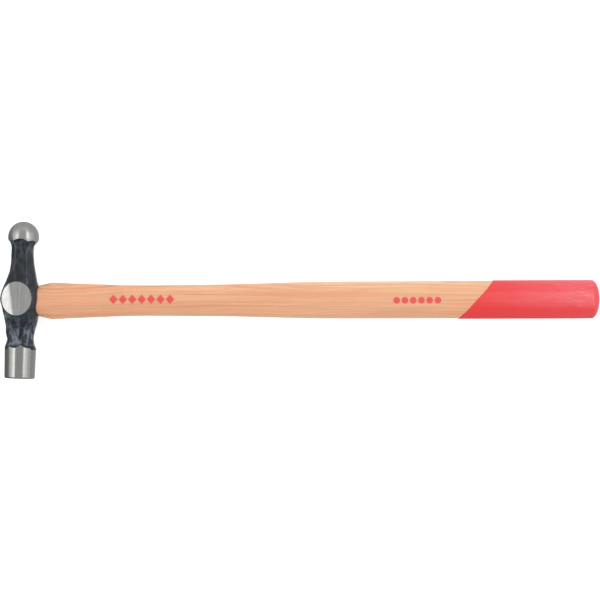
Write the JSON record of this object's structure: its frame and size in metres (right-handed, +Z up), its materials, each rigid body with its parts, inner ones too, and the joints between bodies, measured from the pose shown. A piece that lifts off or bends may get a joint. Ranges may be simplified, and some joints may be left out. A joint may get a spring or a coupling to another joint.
{
  "type": "ball peen hammer",
  "caption": "Small ball peen hammer: forged steel head with ground ball, cheeks and striking face on a slim wedged hickory handle with a dipped grip.",
  "frame": {"origin": "on the lower ground cheek, below the point where the handle's axis crosses the head's axis; the plane z = 0 is the bench it lies on", "axes": "+X along the handle from the head to the butt, +Y across it towards the ball, +Z up out of the bench from one cheek to the other"},
  "size_m": [0.3101, 0.0815, 0.0174],
  "materials": {
    "head_steel": "forged steel in black lacquer, with ball, poll and cheeks ground bright",
    "hickory": "clear varnished hickory",
    "wedge_wood": "bare hardwood end grain",
    "wedge_steel": "plain barbed steel wedge",
    "red_coat": "glossy red dipped lacquer"
  },
  "bodies": {
    "root": {"hammer_head": "head_steel", "handle": "hickory", "wooden_wedge": "wedge_wood", "steel_wedge": "wedge_steel", "grip_coat": "red_coat"}
  },
  "joints": []
}
